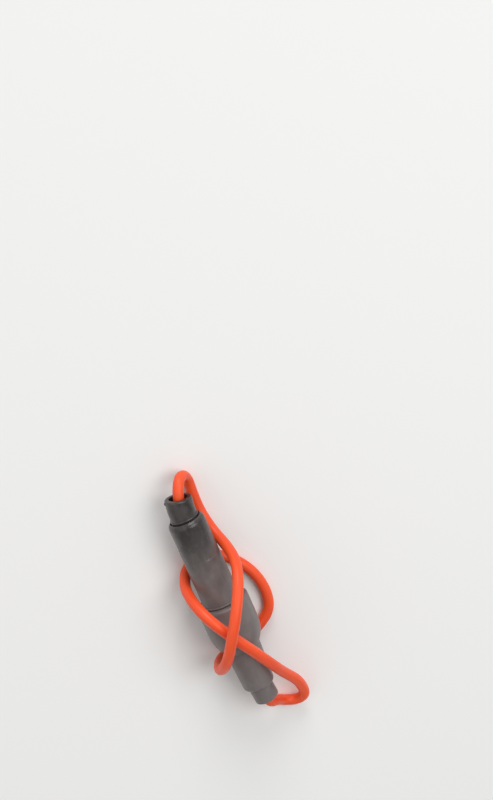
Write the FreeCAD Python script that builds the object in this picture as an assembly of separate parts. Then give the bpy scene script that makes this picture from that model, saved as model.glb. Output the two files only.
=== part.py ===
import FreeCAD, Part
import math
import os

# In-line holder for a glass fuse, with its loop of lead wire still uncut.
# A rubber plug half pushes into a rubber socket half, with the fuse in brass clips between them.
# The body lies along X, plug half towards -X, and the wire rests on the surface below it.
# The origin is the middle of the rubber body, on its axis. All sizes are in millimetres.

# Glass fuse
fuse_length = 31.75
fuse_cap_radius = 3.175
fuse_cap_length = 6.35
fuse_cap_wall = 0.25
fuse_cap_corner = 0.3
fuse_glass_gap = 0.02
fuse_glass_wall = 0.7
element_width = 1.2
element_neck_width = 0.5
element_neck_length = 5.0
element_thickness = 0.12
solder_radius = 1.5
solder_top_radius = 0.9
solder_height = 0.5

# Brass contacts
clip_gap = 0.05
clip_wall = 0.4
clip_length = 7.3
clip_slots = 4
clip_slot_turn = 45.0
clip_slot_width = 0.8
clip_slot_length = 5.8
clip_lead_in = 0.15
flange_height = 0.22
flange_thickness = 0.9
fuse_end_gap = 0.25
crimp_wall = 0.45
crimp_length = 4.5
crimp_seam = 0.15
crimp_dents = 2
crimp_dent_depth = 0.18
crimp_dent_radius = 0.7

# Copper strands in each crimp
strand_count = 6
strand_radius = 0.26
strand_gap = 0.02
strand_bare_length = 0.35

# Rubber halves: walls and fits round the fuse
contact_gap = 0.08
spigot_wall = 1.05
rib_height = 0.3
rib_width = 1.0
rib_count = 3
rib_pitch = 2.8
rib_gap = 0.08
mouth_gap = 0.1
spigot_tip_gap = 0.5
spigot_tip_round = 0.4

# Rubber plug half, outside
barrel_length = 25.15
barrel_draft = 0.1
barrel_collar = 1.0
mould_step_at = 11.25
mould_step = 0.05
mould_step_run = 0.35
shoulder_round = 1.6
crease_width = 0.5
crease_depth = 0.7
bead_radius = 0.25
mouth_bead_radius = 0.2
mouth_bead_back = 0.3
plug_neck_length = 5.7
plug_neck_wall = 1.15
plug_neck_bend = 11.0
hole_overrun = 1.0
rim_round = 0.45
rim_nub_radius = 0.5
rim_nub_back = 0.9

# Rubber socket half, outside
socket_length = 14.25
socket_wall = 1.865
socket_back_wall = 2.25
socket_back_radius = 10.0
lip_outer_round = 0.75
lip_inner_round = 0.45
tail_length = 12.3
tail_wall = 1.15
tail_draft = 0.55
tail_floor = 4.15
tail_round = 0.9
tail_neck_length = 4.7
tail_neck_root = 1.0
tail_neck_lean = 5.0
tail_neck_wall = 0.85
tail_hole_depth = 3.0

# Lead wire and the passages for it
wire_diameter = 2.9
wire_gap = 0.1
hole_gap = 1.0
funnel_length = 0.8

# The wire's route, chosen by hand, from the plug contact to the socket contact
wire_points = [
    (-16.6, 0.0, 0.0),
    (-22.8, 0.0, 0.0),
    (-28.1, -0.1, 0.1),
    (-33.4, 1.5, 0.2),
    (-35.1, 3.5, -2.7),
    (-32.8, 4.9, -6.2),
    (-27.4, 4.4, -6.6),
    (-22.0, 4.4, -6.5),
    (-16.8, 5.4, -4.4),
    (-13.4, 7.0, 0.4),
    (-11.0, 7.4, 6.2),
    (-7.8, 5.8, 11.4),
    (-2.0, 2.2, 14.7),
    (4.8, -2.0, 15.1),
    (10.6, -4.9, 12.1),
    (14.6, -6.9, 7.4),
    (17.0, -8.2, 1.9),
    (17.3, -6.9, -4.2),
    (17.6, -3.6, -6.7),
    (16.4, 1.4, -6.7),
    (14.6, 5.7, -6.7),
    (11.9, 10.0, -6.7),
    (8.3, 11.6, -6.7),
    (3.6, 11.7, -6.7),
    (-1.3, 10.4, -6.7),
    (-5.8, 7.8, -6.7),
    (-9.4, 4.0, -6.7),
    (-10.7, -0.8, -6.7),
    (-9.4, -5.2, -6.6),
    (-6.8, -7.3, -2.8),
    (-5.6, -7.3, 2.4),
    (-3.4, -6.3, 7.6),
    (0.4, -4.3, 10.9),
    (6.4, -0.9, 11.4),
    (13.0, 2.4, 9.7),
    (19.4, 4.9, 6.2),
    (25.4, 7.0, 1.8),
    (30.7, 9.6, -1.5),
    (34.8, 10.4, -3.6),
    (37.9, 10.1, -4.9),
    (39.1, 7.4, -6.6),
    (37.6, 4.2, -6.7),
    (35.5, 2.9, -4.4),
    (33.3, 0.6, -0.8),
    (30.2, 0.2, 0.0),
    (27.35, 0.0, 0.0),
]
run_share = 0.45

# Radii worked out from the fuse outwards
clip_inner_radius = fuse_cap_radius + clip_gap
clip_outer_radius = clip_inner_radius + clip_wall
fuse_bore_radius = clip_outer_radius + contact_gap
flange_radius = clip_outer_radius + flange_height
groove_radius = flange_radius + contact_gap
strand_ring_radius = 2 * strand_radius + strand_gap
crimp_inner_radius = strand_ring_radius + strand_radius + strand_gap
crimp_outer_radius = crimp_inner_radius + crimp_wall
crimp_bore_radius = crimp_outer_radius + contact_gap
crimp_bore_length = crimp_length + strand_bare_length
wire_radius = wire_diameter / 2
wire_bore_radius = wire_radius + wire_gap
neck_hole_radius = wire_radius + hole_gap
plug_neck_radius = neck_hole_radius + plug_neck_wall
tail_neck_radius = neck_hole_radius + tail_neck_wall
spigot_radius = fuse_bore_radius + spigot_wall
rib_radius = spigot_radius + rib_height
socket_bore_radius = rib_radius + rib_gap
barrel_mouth_radius = socket_bore_radius - mouth_gap
barrel_shoulder_radius = barrel_mouth_radius - mould_step - barrel_draft
socket_radius = socket_bore_radius + socket_wall
tail_front_radius = fuse_bore_radius + tail_wall
tail_rear_radius = tail_front_radius - tail_draft

# Places along X, with the body's middle at zero
neck_turn = math.radians(plug_neck_bend)
neck_turn_radius = plug_neck_length / neck_turn
neck_reach = (neck_turn_radius + plug_neck_radius) * math.sin(neck_turn)
lean_turn = math.radians(tail_neck_lean)
tail_neck_rod = tail_neck_root + tail_neck_length
tail_neck_reach = tail_neck_rod * math.cos(lean_turn) + tail_neck_radius * math.sin(lean_turn)
body_length = neck_reach + barrel_length + socket_length + tail_length - tail_neck_root + tail_neck_reach
shoulder_x = neck_reach - body_length / 2
mouth_x = shoulder_x + barrel_length
socket_end_x = mouth_x + socket_length
pocket_end_x = socket_end_x - socket_back_wall
spigot_end_x = pocket_end_x - spigot_tip_gap
tail_end_x = socket_end_x + tail_length
tail_neck_start_x = tail_end_x - tail_neck_root
tail_neck_end_x = tail_neck_start_x + tail_neck_rod
socket_floor_x = tail_end_x - tail_floor
fuse_end_x = socket_floor_x - flange_thickness - fuse_end_gap
fuse_start_x = fuse_end_x - fuse_length
plug_floor_x = fuse_start_x - fuse_end_gap - flange_thickness

x_axis = FreeCAD.Vector(1, 0, 0)
z_axis = FreeCAD.Vector(0, 0, 1)
centre = FreeCAD.Vector(0, 0, 0)


def turned(outline):
    """Solid of revolution about the X axis, from corners (x, r). A pair is an arc: passed, reached."""
    edges = []
    at = FreeCAD.Vector(outline[0][0], outline[0][1], 0)
    for step in outline[1:] + outline[:1]:
        if isinstance(step[0], tuple):
            passed = FreeCAD.Vector(step[0][0], step[0][1], 0)
            reached = FreeCAD.Vector(step[1][0], step[1][1], 0)
            edges.append(Part.Arc(at, passed, reached).toShape())
        else:
            reached = FreeCAD.Vector(step[0], step[1], 0)
            edges.append(Part.LineSegment(at, reached).toShape())
        at = reached
    return Part.Face(Part.Wire(edges)).revolve(centre, x_axis, 360)


def rod(start_x, end_x, radius):
    """Cylinder along the X axis."""
    return Part.makeCylinder(radius, end_x - start_x, FreeCAD.Vector(start_x, 0, 0), x_axis)


def taper(start_x, end_x, start_radius, end_radius):
    """Cone along the X axis."""
    return Part.makeCone(start_radius, end_radius, end_x - start_x, FreeCAD.Vector(start_x, 0, 0), x_axis)


def ring_edges(shape, middle, radius):
    """Circular edges of one radius round one middle point."""
    near = 0.001
    circles = [edge for edge in shape.Edges if isinstance(edge.Curve, Part.Circle)]
    return [
        edge for edge in circles
        if abs(edge.Curve.Radius - radius) < near and edge.Curve.Center.distanceToPoint(middle) < near
    ]


def rounded(shape, x, radius, size):
    """Round the edge that runs round the X axis at x."""
    return shape.makeFillet(size, ring_edges(shape, FreeCAD.Vector(x, 0, 0), radius))


def bent_neck(radius, turn):
    """Round bar that leaves the plug's shoulder towards -X and bends towards +Y."""
    start = Part.Face(Part.Wire(Part.makeCircle(radius, FreeCAD.Vector(shoulder_x, 0, 0), x_axis)))
    pivot = FreeCAD.Vector(shoulder_x, neck_turn_radius, 0)
    return start.revolve(pivot, z_axis, -turn)


def leaning(shape):
    """Turn a piece of the tail's neck towards +Y about the neck's root."""
    return shape.rotated(FreeCAD.Vector(tail_neck_start_x, 0, 0), z_axis, tail_neck_lean)


def plug_housing():
    """Rubber half that plugs in: bent wire neck, drafted barrel, and a spigot with sealing ribs."""
    step_x = shoulder_x + mould_step_at
    outline = [
        (shoulder_x, 0),
        (shoulder_x, barrel_shoulder_radius),
        (step_x, barrel_shoulder_radius),
        (step_x + mould_step_run, barrel_shoulder_radius + mould_step),
        (mouth_x, barrel_mouth_radius),
        (mouth_x + barrel_collar, barrel_mouth_radius),
        (mouth_x + barrel_collar, spigot_radius),
    ]
    spigot_middle_x = (mouth_x + barrel_collar + spigot_end_x) / 2
    for rib in range(rib_count):
        middle = spigot_middle_x + (rib - (rib_count - 1) / 2) * rib_pitch
        outline.append((middle - rib_width / 2, spigot_radius))
        outline.append(((middle, rib_radius), (middle + rib_width / 2, spigot_radius)))
    outline.append((spigot_end_x, spigot_radius))
    outline.append((spigot_end_x, 0))
    body = rounded(turned(outline), shoulder_x, barrel_shoulder_radius, shoulder_round)
    body = rounded(body, spigot_end_x, spigot_radius, spigot_tip_round)

    crease = rod(shoulder_x, shoulder_x + crease_depth, plug_neck_radius + crease_width)
    crease = crease.cut(rod(shoulder_x, shoulder_x + crease_depth, plug_neck_radius))
    body = body.cut(crease)

    neck = bent_neck(plug_neck_radius, plug_neck_bend)
    mouth = FreeCAD.Vector(
        shoulder_x - neck_turn_radius * math.sin(neck_turn),
        neck_turn_radius * (1 - math.cos(neck_turn)),
        0,
    )
    neck = neck.makeFillet(rim_round, ring_edges(neck, mouth, plug_neck_radius))
    across = FreeCAD.Vector(math.sin(neck_turn), math.cos(neck_turn), 0)
    outward = FreeCAD.Vector(-math.cos(neck_turn), math.sin(neck_turn), 0)
    nub_at = mouth - across * (plug_neck_radius - rim_nub_radius / 2) - outward * rim_nub_back
    neck = neck.fuse(Part.makeSphere(rim_nub_radius, nub_at))
    bead_at = FreeCAD.Vector(shoulder_x - bead_radius, 0, 0)
    neck = neck.fuse(Part.makeTorus(plug_neck_radius, bead_radius, bead_at, x_axis))
    mouth_bead_at = FreeCAD.Vector(mouth_x - mouth_bead_back, 0, 0)
    mouth_bead = Part.makeTorus(barrel_mouth_radius, mouth_bead_radius, mouth_bead_at, x_axis)
    body = body.fuse(neck).fuse(mouth_bead)

    body = body.cut(rod(plug_floor_x, spigot_end_x, fuse_bore_radius))
    body = body.cut(rod(plug_floor_x, plug_floor_x + flange_thickness + contact_gap, groove_radius))
    body = body.cut(rod(plug_floor_x - crimp_bore_length, plug_floor_x, crimp_bore_radius))
    body = body.cut(rod(shoulder_x, plug_floor_x, wire_bore_radius))
    body = body.cut(taper(shoulder_x, shoulder_x + funnel_length, neck_hole_radius, wire_bore_radius))
    return body.cut(bent_neck(neck_hole_radius, plug_neck_bend + hole_overrun))


def socket_housing():
    """Rubber half with the wide mouth: lipped socket, drafted tail round the contact, and a wire neck."""
    back_turn = math.acos(1 - (socket_radius - tail_front_radius) / socket_back_radius)
    back_x = socket_end_x - socket_back_radius * math.sin(back_turn)
    back_passed = (
        back_x + socket_back_radius * math.sin(back_turn / 2),
        socket_radius - socket_back_radius * (1 - math.cos(back_turn / 2)),
    )
    body = turned([
        (mouth_x, 0),
        (mouth_x, socket_radius),
        (back_x, socket_radius),
        (back_passed, (socket_end_x, tail_front_radius)),
        (tail_end_x, tail_rear_radius),
        (tail_end_x, 0),
    ])
    body = rounded(body, mouth_x, socket_radius, lip_outer_round)
    body = rounded(body, tail_end_x, tail_rear_radius, tail_round)
    neck = rod(tail_neck_start_x, tail_neck_end_x, tail_neck_radius)
    neck = rounded(neck, tail_neck_end_x, tail_neck_radius, rim_round)
    body = body.fuse(leaning(neck))

    body = body.cut(rod(mouth_x, pocket_end_x, socket_bore_radius))
    body = rounded(body, mouth_x, socket_bore_radius, lip_inner_round)
    body = body.cut(rod(spigot_end_x, socket_floor_x, fuse_bore_radius))
    body = body.cut(rod(socket_floor_x - flange_thickness - contact_gap, socket_floor_x, groove_radius))
    body = body.cut(rod(socket_floor_x, socket_floor_x + crimp_bore_length, crimp_bore_radius))
    hole_x = tail_neck_end_x - tail_hole_depth
    body = body.cut(rod(socket_floor_x, hole_x, wire_bore_radius))
    body = body.cut(leaning(taper(hole_x - funnel_length, hole_x, wire_bore_radius, neck_hole_radius)))
    return body.cut(leaning(rod(hole_x, tail_neck_end_x + funnel_length, neck_hole_radius)))


def contact():
    """Brass contact on the X axis: flange's back at zero, clip open to +X, crimp towards -X."""
    tip_x = flange_thickness + clip_length
    blank = turned([
        (-crimp_length, crimp_inner_radius),
        (-crimp_length, crimp_outer_radius),
        (0, crimp_outer_radius),
        (0, flange_radius),
        (flange_thickness, flange_radius),
        (flange_thickness, clip_outer_radius),
        (tip_x, clip_outer_radius),
        (tip_x, clip_inner_radius + clip_lead_in),
        (tip_x - clip_lead_in, clip_inner_radius),
        (flange_thickness, clip_inner_radius),
        (flange_thickness, crimp_inner_radius),
    ])
    slot = Part.makeBox(clip_slot_length, 2 * clip_outer_radius, clip_slot_width)
    slot.translate(FreeCAD.Vector(tip_x - clip_slot_length, 0, -clip_slot_width / 2))
    for number in range(clip_slots):
        turned_slot = slot.copy()
        turned_slot.rotate(centre, x_axis, clip_slot_turn + number * 360 / clip_slots)
        blank = blank.cut(turned_slot)
    seam = Part.makeBox(crimp_length, crimp_seam, crimp_outer_radius)
    seam.translate(FreeCAD.Vector(-crimp_length, -crimp_seam / 2, 0))
    blank = blank.cut(seam)
    dent_z = crimp_dent_depth - crimp_outer_radius - crimp_dent_radius
    for number in range(crimp_dents):
        dent_x = -crimp_length * (number + 0.5) / crimp_dents
        start = FreeCAD.Vector(dent_x, -crimp_outer_radius, dent_z)
        dent = Part.makeCylinder(crimp_dent_radius, 2 * crimp_outer_radius, start, FreeCAD.Vector(0, 1, 0))
        blank = blank.cut(dent)
    return blank


def strands():
    """Bare copper strands that fill a crimp on the X axis: one in the middle and a ring round it."""
    start_x = -crimp_bore_length
    places = [centre]
    for number in range(strand_count):
        angle = 2 * math.pi * number / strand_count
        places.append(FreeCAD.Vector(0, math.cos(angle), math.sin(angle)) * strand_ring_radius)
    cut_x = flange_thickness / 2
    return Part.makeCompound([
        Part.makeCylinder(strand_radius, cut_x - start_x, place + FreeCAD.Vector(start_x, 0, 0), x_axis)
        for place in places
    ])


def at_plug(shape):
    """Seat a contact's shape on the floor of the plug half."""
    return shape.translated(FreeCAD.Vector(plug_floor_x, 0, 0))


def at_socket(shape):
    """Seat a contact's shape, turned end for end, on the floor of the socket half."""
    return shape.rotated(centre, z_axis, 180).translated(FreeCAD.Vector(socket_floor_x, 0, 0))


def fuse_cap():
    """Metal cap drawn as a cup, with its closed end at zero and its mouth towards +X."""
    cup = rounded(rod(0, fuse_cap_length, fuse_cap_radius), 0, fuse_cap_radius, fuse_cap_corner)
    return cup.cut(rod(fuse_cap_wall, fuse_cap_length, fuse_cap_radius - fuse_cap_wall))


def fuse_solder():
    """Solder that holds the element to the inside of a cap, with the cap's closed end at zero."""
    return taper(fuse_cap_wall, fuse_cap_wall + solder_height, solder_radius, solder_top_radius)


def at_fuse_start(shape):
    """Put an end piece of the fuse at the end in the plug half."""
    return shape.translated(FreeCAD.Vector(fuse_start_x, 0, 0))


def at_fuse_end(shape):
    """Put an end piece of the fuse, turned end for end, at the end in the socket half."""
    return shape.rotated(centre, z_axis, 180).translated(FreeCAD.Vector(fuse_end_x, 0, 0))


def fuse_glass():
    """Glass tube that reaches into both caps."""
    outer = fuse_cap_radius - fuse_cap_wall - fuse_glass_gap
    start_x = fuse_start_x + fuse_cap_wall + fuse_glass_gap
    end_x = fuse_end_x - fuse_cap_wall - fuse_glass_gap
    return rod(start_x, end_x, outer).cut(rod(start_x, end_x, outer - fuse_glass_wall))


def fuse_element():
    """Flat metal strip from solder to solder, narrower at the middle where it melts."""
    start_x = fuse_start_x + fuse_cap_wall + solder_height
    end_x = fuse_end_x - fuse_cap_wall - solder_height
    middle_x = (start_x + end_x) / 2
    strip = Part.makeBox(
        end_x - start_x,
        element_width,
        element_thickness,
        FreeCAD.Vector(start_x, -element_width / 2, -element_thickness / 2),
    )
    half_neck = element_neck_length / 2
    for side in (-1, 1):
        edge_y = side * element_width / 2
        neck_y = side * element_neck_width / 2
        slope = (element_width - element_neck_width) / 2
        notch = Part.Face(Part.makePolygon([
            FreeCAD.Vector(middle_x - half_neck - slope, edge_y, -element_thickness),
            FreeCAD.Vector(middle_x - half_neck, neck_y, -element_thickness),
            FreeCAD.Vector(middle_x + half_neck, neck_y, -element_thickness),
            FreeCAD.Vector(middle_x + half_neck + slope, edge_y, -element_thickness),
            FreeCAD.Vector(middle_x - half_neck - slope, edge_y, -element_thickness),
        ]))
        strip = strip.cut(notch.extrude(FreeCAD.Vector(0, 0, 2 * element_thickness)))
    return strip


def lead_wire():
    """Insulated wire along its route: straight runs joined by tangent arcs as large as the runs allow."""
    points = [FreeCAD.Vector(*point) for point in wire_points]
    edges = []
    at = points[0]
    for before, corner, after in zip(points, points[1:], points[2:]):
        back = before - corner
        ahead = after - corner
        short_run = min(back.Length, ahead.Length)
        half_turn = (math.pi - back.getAngle(ahead)) / 2
        tangent = run_share * short_run
        radius = tangent / math.tan(half_turn)
        arc_start = corner + back.normalize() * tangent
        arc_end = corner + ahead.normalize() * tangent
        inward = (back + ahead).normalize()
        arc_middle = corner + inward * (radius / math.cos(half_turn) - radius)
        edges.append(Part.LineSegment(at, arc_start).toShape())
        edges.append(Part.Arc(arc_start, arc_middle, arc_end).toShape())
        at = arc_end
        print("lead_wire bend radius %.1f" % radius)
    edges.append(Part.LineSegment(at, points[-1]).toShape())
    path = Part.Wire(edges)
    section = Part.Wire(Part.makeCircle(wire_radius, points[0], points[1] - points[0]))
    tube = path.makePipeShell([section], True, False)
    drawn = math.pi * wire_radius ** 2 * path.Length
    print("lead_wire length %.1f, volume %.1f against %.1f" % (path.Length, tube.Volume, drawn))
    return tube


sub_parts = {
    "plug_housing": plug_housing(),
    "socket_housing": socket_housing(),
    "plug_contact": at_plug(contact()),
    "socket_contact": at_socket(contact()),
    "plug_strands": at_plug(strands()),
    "socket_strands": at_socket(strands()),
    "fuse_glass": fuse_glass(),
    "fuse_element": fuse_element(),
    "fuse_cap_plug_end": at_fuse_start(fuse_cap()),
    "fuse_cap_socket_end": at_fuse_end(fuse_cap()),
    "fuse_solder_plug_end": at_fuse_start(fuse_solder()),
    "fuse_solder_socket_end": at_fuse_end(fuse_solder()),
    "lead_wire": lead_wire(),
}

os.makedirs("parts", exist_ok=True)
for name, shape in sub_parts.items():
    shape.exportStep(os.path.join("parts", name + ".step"))
    print(name, "solids", len(shape.Solids), "valid", shape.isValid(), "volume %.2f" % shape.Volume)
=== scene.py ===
import math

import bmesh
import bpy
from mathutils import Matrix, Vector


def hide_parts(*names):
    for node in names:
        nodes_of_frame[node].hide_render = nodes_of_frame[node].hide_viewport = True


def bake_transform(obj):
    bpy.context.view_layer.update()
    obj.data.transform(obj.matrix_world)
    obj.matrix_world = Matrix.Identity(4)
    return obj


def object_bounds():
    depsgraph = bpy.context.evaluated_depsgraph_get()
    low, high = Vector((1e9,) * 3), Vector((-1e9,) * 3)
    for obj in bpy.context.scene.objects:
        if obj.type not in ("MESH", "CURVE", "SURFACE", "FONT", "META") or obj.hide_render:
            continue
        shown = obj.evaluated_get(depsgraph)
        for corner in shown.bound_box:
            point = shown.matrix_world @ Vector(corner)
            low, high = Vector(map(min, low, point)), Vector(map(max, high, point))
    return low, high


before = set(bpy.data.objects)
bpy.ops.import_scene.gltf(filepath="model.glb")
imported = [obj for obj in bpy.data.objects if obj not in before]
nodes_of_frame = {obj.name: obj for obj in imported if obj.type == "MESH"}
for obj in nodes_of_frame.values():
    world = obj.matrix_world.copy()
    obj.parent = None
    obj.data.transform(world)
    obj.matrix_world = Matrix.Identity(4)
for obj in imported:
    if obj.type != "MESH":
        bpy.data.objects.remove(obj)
cad_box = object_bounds()


# Camera: it stands over the plug's end and looks down on the crossing of the wire, rolled so that the
# body runs from the upper left to the lower right of the picture. Pixels are those of a 493 x 800 picture.
picture_width = 493
picture_height = 800
body_middle_px = Vector((221.6, 600.0))
pixels_per_metre = 3840
camera_distance = 0.4
camera_tilt = math.radians(24.3)
camera_roll = math.radians(24.5)

towards_camera = Vector((-math.sin(camera_tilt), 0, math.cos(camera_tilt)))
along_body = Vector((math.cos(camera_tilt), 0, math.sin(camera_tilt)))
across_body = Vector((0, 1, 0))
picture_right = math.sin(camera_roll) * along_body + math.cos(camera_roll) * across_body
picture_up = math.sin(camera_roll) * across_body - math.cos(camera_roll) * along_body

off_centre = body_middle_px - Vector((picture_width, picture_height)) / 2
body_spread_px = pixels_per_metre * camera_distance
focal_px = math.sqrt(body_spread_px ** 2 - off_centre.length ** 2)
ray_to_body = Vector((off_centre.x, -off_centre.y, -focal_px))
turn_to_middle = ray_to_body.rotation_difference(Vector((0, 0, -1))).to_matrix()
facing_body = Matrix((picture_right, picture_up, towards_camera)).transposed()
camera_matrix = (facing_body @ turn_to_middle).to_4x4()
camera_matrix.translation = towards_camera * camera_distance

camera_data = bpy.data.cameras.new("camera")
camera_data.sensor_fit = "VERTICAL"
camera_data.sensor_height = 24
camera_data.lens = camera_data.sensor_height * focal_px / picture_height
camera_data.clip_start = 0.005
camera = bpy.data.objects.new("camera", camera_data)
camera.matrix_world = camera_matrix
bpy.context.scene.collection.objects.link(camera)
bpy.context.scene.camera = camera


# Surface and light: a pale matt sheet that the lowest wire lies on, a broad softbox high at the body's side,
# a weaker one across from it, a low one beyond the plug's end for the gleam on the shoulder, and an even
# pale surround.
def add_softbox(name, place, size, power):
    """Square soft light that faces the middle of the body."""
    light = bpy.data.lights.new(name, "AREA")
    light.size = size
    light.energy = power
    softbox = bpy.data.objects.new(name, light)
    softbox.location = place
    softbox.rotation_euler = (-Vector(place)).to_track_quat("-Z", "Y").to_euler()
    bpy.context.scene.collection.objects.link(softbox)


add_softbox("softbox_key", place=(-0.15, 0.38, 0.7), size=0.5, power=2.7)
add_softbox("softbox_fill", place=(-0.3, -0.4, 0.4), size=0.7, power=0.75)
add_softbox("softbox_end", place=(-1.8, 0.54, 0.8), size=0.8, power=16.8)

surround = bpy.data.worlds.new("surround")
surround.use_nodes = True
surround_light = surround.node_tree.nodes["Background"]
surround_light.inputs["Color"].default_value = (0.93, 0.93, 0.92, 1)
surround_light.inputs["Strength"].default_value = 0.45
bpy.context.scene.world = surround
bpy.context.scene.view_settings.view_transform = "Standard"

sheet_width = 8.0
sheet_mesh = bpy.data.meshes.new("surface")
sheet = bmesh.new()
bmesh.ops.create_grid(sheet, x_segments=1, y_segments=1, size=sheet_width / 2)
bmesh.ops.translate(sheet, verts=sheet.verts, vec=(0, 0, cad_box[0][2]))
sheet.to_mesh(sheet_mesh)
sheet.free()
surface = bpy.data.objects.new("surface", sheet_mesh)
bpy.context.scene.collection.objects.link(surface)
sheet_paint = bpy.data.materials.new("sheet_paint")
sheet_paint.use_nodes = True
sheet_shader = sheet_paint.node_tree.nodes["Principled BSDF"]
sheet_shader.inputs["Base Color"].default_value = (0.86, 0.86, 0.85, 1)
sheet_shader.inputs["Roughness"].default_value = 0.8
sheet_shader.inputs["Specular IOR Level"].default_value = 0.1
sheet_mesh.materials.append(sheet_paint)


# Lead wire: stranded copper in a red PVC skin, one length that leaves the plug's neck, doubles back under
# the barrel, crosses over the body, loops round beneath it, crosses again and enters the socket's neck.
# The skin is extruded, so faint draw lines run along it, with a few dull scuffs.
wire_diameter = 0.0029
wire_sides = 24
wire_steps_per_point = 16
wire_route = [
    (-0.0166, 0.0, 0.0),
    (-0.0228, 0.0, 0.0),
    (-0.0281, -0.0001, 0.0001),
    (-0.0334, 0.0015, 0.0002),
    (-0.0351, 0.0035, -0.0027),
    (-0.0328, 0.0049, -0.0062),
    (-0.0274, 0.0044, -0.0066),
    (-0.022, 0.0044, -0.0065),
    (-0.0168, 0.0054, -0.0044),
    (-0.0134, 0.007, 0.0004),
    (-0.011, 0.0074, 0.0062),
    (-0.0078, 0.0058, 0.0114),
    (-0.002, 0.0022, 0.0147),
    (0.0048, -0.002, 0.0151),
    (0.0106, -0.0049, 0.0121),
    (0.0146, -0.0069, 0.0074),
    (0.017, -0.0082, 0.0019),
    (0.0173, -0.0069, -0.0042),
    (0.0176, -0.0036, -0.0067),
    (0.0164, 0.0014, -0.0067),
    (0.0146, 0.0057, -0.0067),
    (0.0119, 0.01, -0.0067),
    (0.0083, 0.0116, -0.0067),
    (0.0036, 0.0117, -0.0067),
    (-0.0013, 0.0104, -0.0067),
    (-0.0058, 0.0078, -0.0067),
    (-0.0094, 0.004, -0.0067),
    (-0.0107, -0.0008, -0.0067),
    (-0.0094, -0.0052, -0.0066),
    (-0.0068, -0.0073, -0.0028),
    (-0.0056, -0.0073, 0.0024),
    (-0.0034, -0.0063, 0.0076),
    (0.0004, -0.0043, 0.0109),
    (0.0064, -0.0009, 0.0114),
    (0.013, 0.0024, 0.0097),
    (0.0194, 0.0049, 0.0062),
    (0.0254, 0.007, 0.0018),
    (0.0307, 0.0096, -0.0015),
    (0.0348, 0.0104, -0.0036),
    (0.0379, 0.0101, -0.0049),
    (0.0391, 0.0074, -0.0066),
    (0.0376, 0.0042, -0.0067),
    (0.0355, 0.0029, -0.0044),
    (0.0333, 0.0006, -0.0008),
    (0.0302, 0.0002, 0.0),
    (0.02735, 0.0, 0.0),
]

route_curve = bpy.data.curves.new("wire_route", "CURVE")
route_curve.dimensions = "3D"
route_spline = route_curve.splines.new("NURBS")
route_spline.points.add(len(wire_route) - 1)
for point, place in zip(route_spline.points, wire_route):
    point.co = (*place, 1)
route_spline.order_u = 3
route_spline.use_endpoint_u = True
route_spline.resolution_u = wire_steps_per_point
route_object = bpy.data.objects.new("wire_route", route_curve)
bpy.context.scene.collection.objects.link(route_object)
route_mesh = bpy.data.meshes.new_from_object(route_object)
wire_line = [vertex.co.copy() for vertex in route_mesh.vertices]
bpy.data.objects.remove(route_object)

# A ring of corners is swept along the route. Each corner keeps its lay, which is its place round the
# wire and how far along the wire it lies, so that the marks on the skin follow every bend.
wire = bmesh.new()
lay_layer = wire.verts.layers.float_vector.new("wire_lay")
first_heading = (wire_line[1] - wire_line[0]).normalized()
ring = bmesh.ops.create_circle(wire, cap_ends=True, segments=wire_sides, radius=wire_diameter / 2)["verts"]
for corner in ring:
    corner[lay_layer] = corner.co
first_turn = first_heading.to_track_quat("Z", "Y").to_matrix()
bmesh.ops.rotate(wire, verts=ring, cent=(0, 0, 0), matrix=first_turn)
bmesh.ops.translate(wire, verts=ring, vec=wire_line[0])
ring_edges = list(wire.edges)
heading = first_heading
travelled = 0
for before, place, after in zip(wire_line, wire_line[1:], wire_line[2:] + [None]):
    grown = bmesh.ops.extrude_edge_only(wire, edges=ring_edges)["geom"]
    ring = [item for item in grown if isinstance(item, bmesh.types.BMVert)]
    ring_edges = [
        item for item in grown
        if isinstance(item, bmesh.types.BMEdge) and item.verts[0] in ring and item.verts[1] in ring
    ]
    run = place - before
    travelled += run.length
    for corner in ring:
        corner[lay_layer] = Vector((corner[lay_layer].x, corner[lay_layer].y, travelled))
    bmesh.ops.translate(wire, verts=ring, vec=run)
    next_heading = run.normalized()
    if after is not None:
        next_heading = (run.normalized() + (after - place).normalized()).normalized()
    bend = heading.rotation_difference(next_heading).to_matrix()
    bmesh.ops.rotate(wire, verts=ring, cent=place, matrix=bend)
    heading = next_heading
bmesh.ops.contextual_create(wire, geom=ring_edges)
bmesh.ops.recalc_face_normals(wire, faces=wire.faces)
for face in wire.faces:
    face.smooth = len(face.verts) == 4
wire_mesh = bpy.data.meshes.new("lead_wire_skin")
wire.to_mesh(wire_mesh)
wire.free()
lead_wire_skin = bpy.data.objects.new("lead_wire_skin", wire_mesh)
bpy.context.scene.collection.objects.link(lead_wire_skin)


def new_group(name, inputs, outputs):
    """Node group with named sockets.

    Each input is a name with its socket kind and value, each output a name with its socket kind.
    """
    group = bpy.data.node_groups.new(name, "ShaderNodeTree")
    for label, (kind, value) in inputs.items():
        socket = group.interface.new_socket(name=label, in_out="INPUT", socket_type=kind)
        if value is not None:
            socket.default_value = value
    for label, kind in outputs.items():
        group.interface.new_socket(name=label, in_out="OUTPUT", socket_type=kind)
    return group, group.nodes.new("NodeGroupInput").outputs, group.nodes.new("NodeGroupOutput").inputs


def add_node(tree, kind, settings=None, **sockets):
    """Node with its settings, and its input sockets set to a value or joined to another socket."""
    node = tree.nodes.new(kind)
    for label, value in (settings or {}).items():
        setattr(node, label, value)
    for label, value in sockets.items():
        socket = node.inputs[label.replace("_", " ")]
        if isinstance(value, bpy.types.NodeSocket):
            tree.links.new(value, socket)
        else:
            socket.default_value = value
    return node


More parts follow.
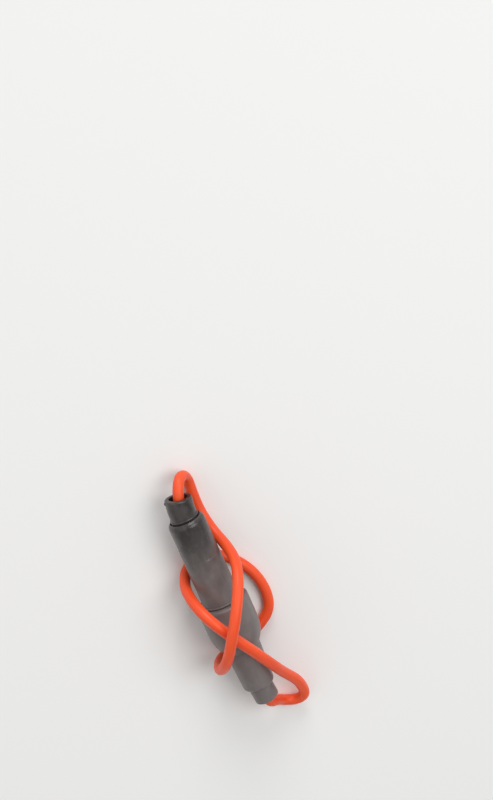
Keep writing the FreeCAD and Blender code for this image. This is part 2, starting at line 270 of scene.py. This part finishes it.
# Uneven tone and fine grain, used by every moulded, drawn and plated surface of the holder.
# Tone is a soft patchy mask from 0 to 1, and Grain is a fine height for a bump.
uneven, uneven_in, uneven_out = new_group(
    "uneven_surface",
    {
        "Place": ("NodeSocketVector", None),
        "Patch Scale": ("NodeSocketFloat", 200.0),
        "Grain Scale": ("NodeSocketFloat", 3000.0),
    },
    {"Tone": "NodeSocketFloat", "Grain": "NodeSocketFloat"},
)
patches = add_node(
    uneven, "ShaderNodeTexNoise",
    Vector=uneven_in["Place"], Scale=uneven_in["Patch Scale"], Detail=4.0, Roughness=0.6,
)
patch_mask = add_node(
    uneven, "ShaderNodeMapRange", {"interpolation_type": "SMOOTHSTEP"},
    Value=patches.outputs["Fac"], From_Min=0.35, From_Max=0.65,
)
grain = add_node(
    uneven, "ShaderNodeTexNoise",
    Vector=uneven_in["Place"], Scale=uneven_in["Grain Scale"], Detail=3.0, Roughness=0.55,
)
uneven.links.new(patch_mask.outputs["Result"], uneven_out["Tone"])
uneven.links.new(grain.outputs["Fac"], uneven_out["Grain"])


def new_material(name):
    """Empty node material, its tree and its shader."""
    material = bpy.data.materials.new(name)
    material.use_nodes = True
    return material, material.node_tree, material.node_tree.nodes["Principled BSDF"]


def add_unevenness(tree, place, patch_scale, grain_scale):
    """The shared uneven surface, placed in a material."""
    unevenness = add_node(tree, "ShaderNodeGroup", {"node_tree": uneven})
    tree.links.new(place, unevenness.inputs["Place"])
    unevenness.inputs["Patch Scale"].default_value = patch_scale
    unevenness.inputs["Grain Scale"].default_value = grain_scale
    return unevenness.outputs


def tint(tree, shader, mask, first, second):
    """Colour that goes from first to second with a mask."""
    mix = add_node(tree, "ShaderNodeMix", {"data_type": "RGBA"})
    factor, first_colour, second_colour = mix.inputs[0], mix.inputs[6], mix.inputs[7]
    mixed_colour = mix.outputs[2]
    tree.links.new(mask, factor)
    first_colour.default_value = (*first, 1)
    second_colour.default_value = (*second, 1)
    tree.links.new(mixed_colour, shader.inputs["Base Color"])


def gloss_range(tree, shader, mask, first, second):
    """Roughness that goes from first to second with a mask."""
    ranged = add_node(tree, "ShaderNodeMapRange", Value=mask, To_Min=first, To_Max=second)
    tree.links.new(ranged.outputs["Result"], shader.inputs["Roughness"])


def relief(tree, shader, height, depth):
    """Bump of a real depth in metres."""
    bump = add_node(tree, "ShaderNodeBump", Height=height, Distance=depth)
    tree.links.new(bump.outputs["Normal"], shader.inputs["Normal"])


wire_red = (0.9, 0.096, 0.022)
wire_red_deep = (0.84, 0.073, 0.016)
wire_smooth = 0.36
wire_scuffed = 0.5
draw_line_scale = (1.0, 1.0, 0.06)
wire_skin, wire_tree, wire_shader = new_material("wire_skin")
wire_lay = add_node(wire_tree, "ShaderNodeAttribute", {"attribute_name": "wire_lay"}).outputs["Vector"]
draw_lines = add_node(wire_tree, "ShaderNodeMapping", Vector=wire_lay, Scale=draw_line_scale)
wire_marks = add_unevenness(
    wire_tree, draw_lines.outputs["Vector"], patch_scale=900.0, grain_scale=5000.0
)
scuffs = add_unevenness(wire_tree, wire_lay, patch_scale=220.0, grain_scale=2500.0)
tint(wire_tree, wire_shader, wire_marks["Tone"], wire_red_deep, wire_red)
gloss_range(wire_tree, wire_shader, scuffs["Tone"], wire_smooth, wire_scuffed)
relief(wire_tree, wire_shader, wire_marks["Grain"], depth=0.00002)
wire_shader.inputs["Specular IOR Level"].default_value = 0.4
wire_mesh.materials.append(wire_skin)

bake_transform(lead_wire_skin)
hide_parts("lead_wire")


# Rubber halves: two mouldings of soft black rubber, the plug with its bent neck and the socket with its
# rounded lip. The mould leaves a fine satin grain. The colour goes from black at the plug's neck and
# shoulder to a warm grey, in soft patches, duller and paler towards the tail.
rubber_black = (0.024, 0.02, 0.019)
rubber_pale_grey = (0.188, 0.165, 0.159)
paling_start = -0.026
paling_full = 0.0
paling_patchiness = 0.2
rubber_satin = 0.24
rubber_dull = 0.4
flow_scale = (0.6, 1.0, 1.0)
body_rubber, rubber_tree, rubber_shader = new_material("body_rubber")
rubber_place = add_node(rubber_tree, "ShaderNodeTexCoord").outputs["Object"]
flow = add_node(rubber_tree, "ShaderNodeMapping", Vector=rubber_place, Scale=flow_scale)
rubber_marks = add_unevenness(
    rubber_tree, flow.outputs["Vector"], patch_scale=320.0, grain_scale=3500.0
)
body_x = add_node(rubber_tree, "ShaderNodeSeparateXYZ", Vector=rubber_place).outputs["X"]
# Colour and gloss go from black and satin behind the plug's shoulder to pale grey and dull at the mouth,
# with patches.
paling_along = add_node(
    rubber_tree, "ShaderNodeMapRange", {"interpolation_type": "SMOOTHSTEP"},
    Value=body_x, From_Min=paling_start, From_Max=paling_full, To_Max=1 - paling_patchiness,
)
paling = add_node(rubber_tree, "ShaderNodeMath", {"operation": "MULTIPLY_ADD"})
patchy_tone, patchy_share, rise_along = paling.inputs
rubber_tree.links.new(rubber_marks["Tone"], patchy_tone)
patchy_share.default_value = paling_patchiness
rubber_tree.links.new(paling_along.outputs["Result"], rise_along)
tint(rubber_tree, rubber_shader, paling.outputs["Value"], rubber_black, rubber_pale_grey)
gloss_range(rubber_tree, rubber_shader, paling.outputs["Value"], rubber_satin, rubber_dull)
relief(rubber_tree, rubber_shader, rubber_marks["Grain"], depth=0.00004)
for name in ("plug_housing", "socket_housing"):
    nodes_of_frame[name].material_slots[0].material = body_rubber


# Bright metal: the brass contacts and the copper strands in their crimps, and on the fuse the plated caps,
# the element and its solder. All but the solder are drawn or stamped along the body, so fine lines run
# that way.
def metal(name, dark, bright, smooth, dull, line_stretch):
    """Worn metal with lines along the body, the longer the smaller its line stretch."""
    finish, tree, shader = new_material(name)
    place = add_node(tree, "ShaderNodeTexCoord").outputs["Object"]
    lines = add_node(tree, "ShaderNodeMapping", Vector=place, Scale=(line_stretch, 1.0, 1.0))
    marks = add_unevenness(tree, lines.outputs["Vector"], patch_scale=500.0, grain_scale=9000.0)
    tint(tree, shader, marks["Tone"], dark, bright)
    gloss_range(tree, shader, marks["Tone"], dull, smooth)
    relief(tree, shader, marks["Grain"], depth=0.000006)
    shader.inputs["Metallic"].default_value = 1.0
    return finish


contact_brass = metal(
    "contact_brass", dark=(0.62, 0.42, 0.18), bright=(0.83, 0.64, 0.33),
    smooth=0.22, dull=0.38, line_stretch=0.15,
)
strand_copper = metal(
    "strand_copper", dark=(0.62, 0.3, 0.17), bright=(0.86, 0.47, 0.31),
    smooth=0.25, dull=0.42, line_stretch=0.1,
)
cap_nickel = metal(
    "cap_nickel", dark=(0.62, 0.6, 0.56), bright=(0.8, 0.78, 0.73),
    smooth=0.12, dull=0.26, line_stretch=0.2,
)
element_zinc = metal(
    "element_zinc", dark=(0.52, 0.52, 0.5), bright=(0.72, 0.71, 0.68),
    smooth=0.28, dull=0.42, line_stretch=0.08,
)
solder_tin = metal(
    "solder_tin", dark=(0.5, 0.5, 0.51), bright=(0.66, 0.66, 0.67),
    smooth=0.25, dull=0.45, line_stretch=1.0,
)
metal_pieces = {
    "plug_contact": contact_brass,
    "socket_contact": contact_brass,
    "plug_strands": strand_copper,
    "socket_strands": strand_copper,
    "fuse_cap_plug_end": cap_nickel,
    "fuse_cap_socket_end": cap_nickel,
    "fuse_element": element_zinc,
    "fuse_solder_plug_end": solder_tin,
    "fuse_solder_socket_end": solder_tin,
}
for name, finish in metal_pieces.items():
    nodes_of_frame[name].material_slots[0].material = finish


# Fuse glass: a clear tube drawn a little wavy, with the faintest green in its wall. The caps close both
# of its ends, and the element shows through it.
glass_green = (0.93, 0.975, 0.955)
glass_clear = (0.97, 0.99, 0.98)
fuse_glass, glass_tree, glass_shader = new_material("fuse_glass")
glass_place = add_node(glass_tree, "ShaderNodeTexCoord").outputs["Object"]
glass_waves = add_unevenness(glass_tree, glass_place, patch_scale=150.0, grain_scale=400.0)
tint(glass_tree, glass_shader, glass_waves["Tone"], glass_green, glass_clear)
relief(glass_tree, glass_shader, glass_waves["Grain"], depth=0.00001)
glass_shader.inputs["Roughness"].default_value = 0.02
glass_shader.inputs["IOR"].default_value = 1.5
glass_shader.inputs["Transmission Weight"].default_value = 1.0
nodes_of_frame["fuse_glass"].material_slots[0].material = fuse_glass
